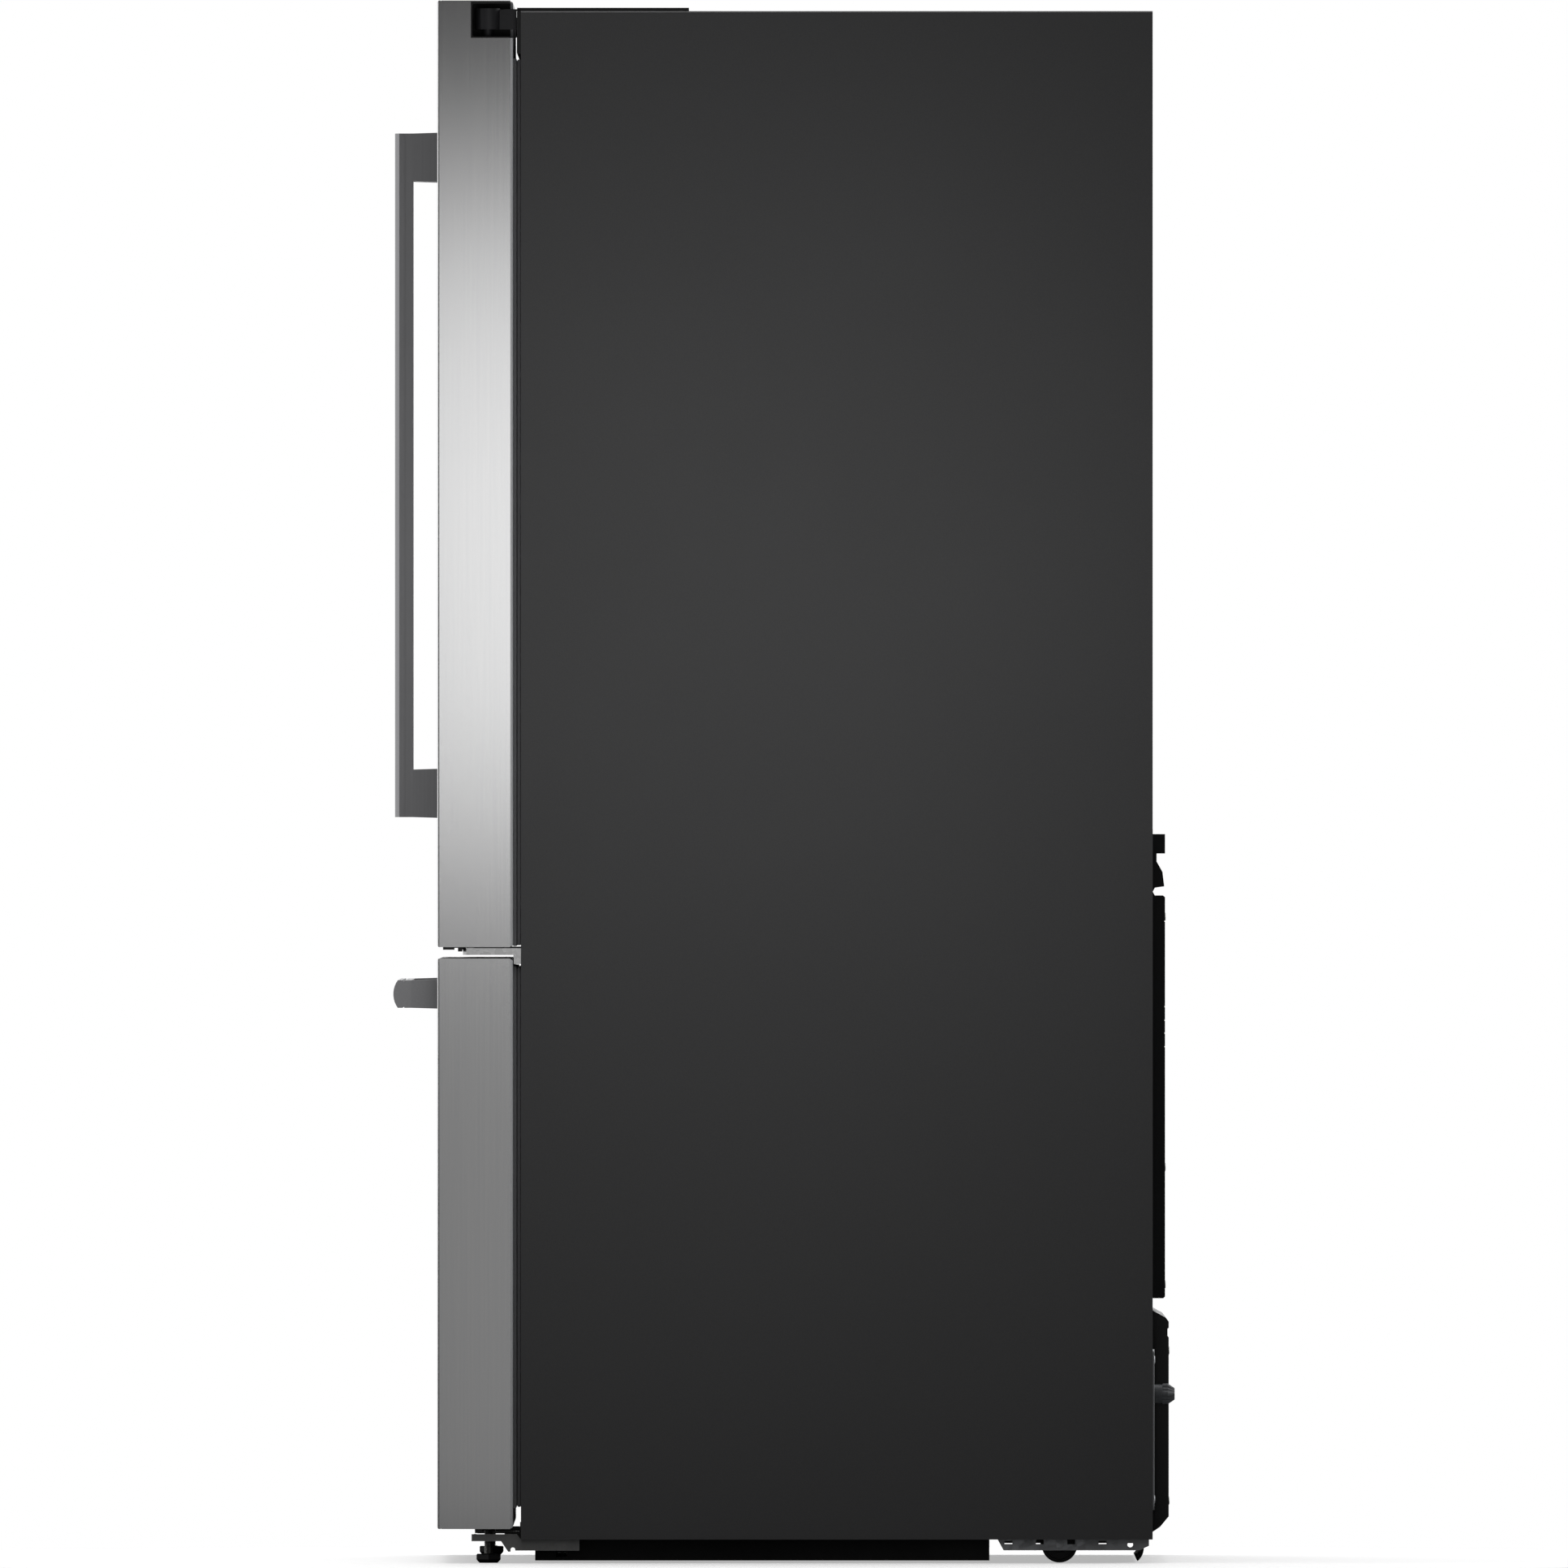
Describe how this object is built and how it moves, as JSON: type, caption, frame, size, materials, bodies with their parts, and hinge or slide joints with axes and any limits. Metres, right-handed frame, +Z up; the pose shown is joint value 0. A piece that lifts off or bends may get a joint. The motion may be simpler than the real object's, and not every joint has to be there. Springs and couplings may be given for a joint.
{
  "type": "french door refrigerator",
  "caption": "Free-standing refrigerator with paired upper doors on side hinges over a full-width freezer drawer, bar handles, grey case.",
  "frame": {"origin": "on the floor, centred under the whole object", "axes": "+Z up, the doors face -Y, +X to the right seen from the front"},
  "size_m": [0.908, 0.8897, 1.778],
  "materials": {
    "painted_steel": "fine textured satin paint",
    "galvanised_steel": "galvanised sheet",
    "foam": "closed-cell polyurethane foam",
    "white_liner": "satin white moulding",
    "stainless": "satin brushed stainless",
    "black_plastic": "fine textured black",
    "hinge_metal": "cast and plated",
    "compressor_enamel": "black enamel",
    "coil_metal": "bare aluminium",
    "grey_plastic": "grey moulding",
    "gasket_rubber": "soft matt",
    "clear_plastic": "clear polystyrene",
    "shelf_glass": "tempered glass"
  },
  "bodies": {
    "cabinet": {"cabinet_wrap": "painted_steel", "back_panel": "galvanised_steel", "cabinet_insulation": "foam", "fresh_food_liner": "white_liner", "freezer_liner": "white_liner", "base_pan": "galvanised_steel", "top_trim": "black_plastic", "top_covers": "black_plastic", "door_hinges": "hinge_metal", "hinge_screws": "hinge_metal", "leg_brackets": "galvanised_steel", "air_guide": "black_plastic", "rear_rails": "galvanised_steel", "machine_cover": "black_plastic", "duct_cover": "black_plastic", "water_inlet": "grey_plastic", "compressor": "compressor_enamel", "condenser_coil": "coil_metal", "fan_shroud": "black_plastic", "drain_pan": "black_plastic", "evaporator_coil": "coil_metal", "air_duct_covers": "white_liner", "shelf_panes": "shelf_glass", "shelf_rims": "white_liner", "shelf_brackets": "galvanised_steel", "crisper_frame": "white_liner", "ceiling_console": "white_liner", "freezer_rails": "galvanised_steel"},
    "door_right": {"door_right_shell": "stainless", "door_right_core": "foam", "door_right_liner": "white_liner", "door_right_gasket": "gasket_rubber", "door_right_end_caps": "black_plastic", "door_right_handle": "stainless", "door_right_bins": "clear_plastic"},
    "door_left": {"door_left_shell": "stainless", "door_left_core": "foam", "door_left_liner": "white_liner", "door_left_gasket": "gasket_rubber", "door_left_end_caps": "black_plastic", "door_left_handle": "stainless", "door_left_bins": "clear_plastic"},
    "centre_flap": {"mullion_flap": "grey_plastic"},
    "freezer_drawer": {"drawer_shell": "stainless", "drawer_core": "foam", "drawer_liner": "white_liner", "drawer_gasket": "gasket_rubber", "drawer_handle": "stainless", "drawer_brackets": "galvanised_steel", "drawer_basket": "clear_plastic"},
    "slide_members": {"slide_middles": "galvanised_steel"},
    "upper_tray": {"freezer_tray": "white_liner"},
    "crisper_right": {"crisper_right": "clear_plastic"},
    "crisper_left": {"crisper_left": "clear_plastic"},
    "condenser_rotor": {"condenser_fan": "black_plastic"},
    "evaporator_rotor": {"evaporator_fan": "black_plastic"},
    "roller_right": {"roller_right": "black_plastic"},
    "roller_left": {"roller_left": "black_plastic"},
    "foot_right": {"foot_right": "black_plastic"},
    "foot_left": {"foot_left": "black_plastic"}
  },
  "joints": [
    {"name": "door_right_hinge", "type": "hinge", "parent": "cabinet", "child": "door_right", "pos_m": [0.438, -0.3373, 0.7009], "axis": [0, 0, 1], "range_deg": [0, 120]},
    {"name": "door_left_hinge", "type": "hinge", "parent": "cabinet", "child": "door_left", "pos_m": [-0.438, -0.3373, 0.7009], "axis": [0, 0, -1], "range_deg": [0, 120]},
    {"name": "flap_fold", "type": "hinge", "parent": "door_left", "child": "centre_flap", "pos_m": [-0.022, -0.2904, 0.7404], "axis": [0, 0, 1], "range_deg": [0, 90]},
    {"name": "drawer_slide", "type": "slide", "parent": "cabinet", "child": "freezer_drawer", "axis": [0, -1, 0], "range_m": [0, 0.42]},
    {"name": "member_slide", "type": "slide", "parent": "cabinet", "child": "slide_members", "axis": [0, -1, 0], "range_m": [0, 0.21]},
    {"name": "tray_slide", "type": "slide", "parent": "cabinet", "child": "upper_tray", "axis": [0, -1, 0], "range_m": [0, 0.21]},
    {"name": "crisper_right_slide", "type": "slide", "parent": "cabinet", "child": "crisper_right", "axis": [0, -1, 0], "range_m": [0, 0.1]},
    {"name": "crisper_left_slide", "type": "slide", "parent": "cabinet", "child": "crisper_left", "axis": [0, -1, 0], "range_m": [0, 0.1]},
    {"name": "condenser_fan_spin", "type": "hinge", "parent": "cabinet", "child": "condenser_rotor", "pos_m": [0.03436, 0.307, 0.16], "axis": [1, 0, 0], "continuous": true},
    {"name": "evaporator_fan_spin", "type": "hinge", "parent": "cabinet", "child": "evaporator_rotor", "pos_m": [0, 0.3005, 0.5944], "axis": [0, 1, 0], "continuous": true},
    {"name": "roller_right_spin", "type": "hinge", "parent": "cabinet", "child": "roller_right", "pos_m": [0.38, 0.3137, 0.0204], "axis": [1, 0, 0], "continuous": true},
    {"name": "foot_right_thread", "type": "slide", "parent": "cabinet", "child": "foot_right", "axis": [0, 0, -1], "range_m": [0, 0.012]},
    {"name": "roller_left_spin", "type": "hinge", "parent": "cabinet", "child": "roller_left", "pos_m": [-0.38, 0.3137, 0.0204], "axis": [1, 0, 0], "continuous": true},
    {"name": "foot_left_thread", "type": "slide", "parent": "cabinet", "child": "foot_left", "axis": [0, 0, -1], "range_m": [0, 0.012]}
  ],
  "couplings": [
    {"joint": "member_slide", "follows": "drawer_slide", "ratio": 0.5},
    {"joint": "tray_slide", "follows": "drawer_slide", "ratio": 0.5}
  ]
}
